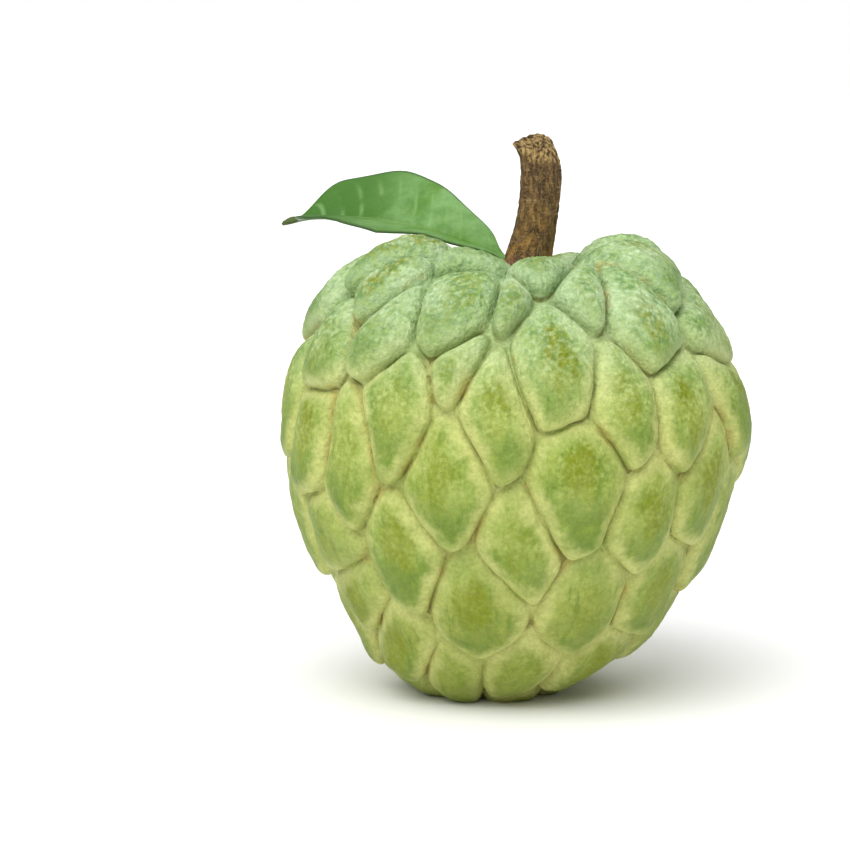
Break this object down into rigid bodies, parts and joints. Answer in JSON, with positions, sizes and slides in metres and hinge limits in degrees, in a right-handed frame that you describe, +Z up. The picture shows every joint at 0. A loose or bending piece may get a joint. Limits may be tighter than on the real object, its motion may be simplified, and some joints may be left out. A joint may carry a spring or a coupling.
{
  "type": "custard apple",
  "caption": "Whole heart-shaped tropical fruit covered in raised green scales, with a broken woody stem and a leaf at the stem's foot; rests upright on a small flat spot.",
  "frame": {"origin": "middle of the flat spot under the fruit, on the surface that it rests on", "axes": "+Z up through the fruit to its stem, -Y towards the front that the picture shows, +X to the right of that front; the leaf reaches towards -X and +Y"},
  "size_m": [0.0917, 0.0876, 0.1076],
  "materials": {
    "fruit_skin": "leathery fruit rind, matt, pale green with a powdery bloom and olive blotches",
    "stem_bark": "rough brown bark, torn fibres at the broken end",
    "leaf_green": "fresh green leaf, leathery, softly glossy on its upper face"
  },
  "bodies": {
    "root": {"fruit": "fruit_skin", "stem": "stem_bark", "leaf": "leaf_green"}
  },
  "joints": []
}
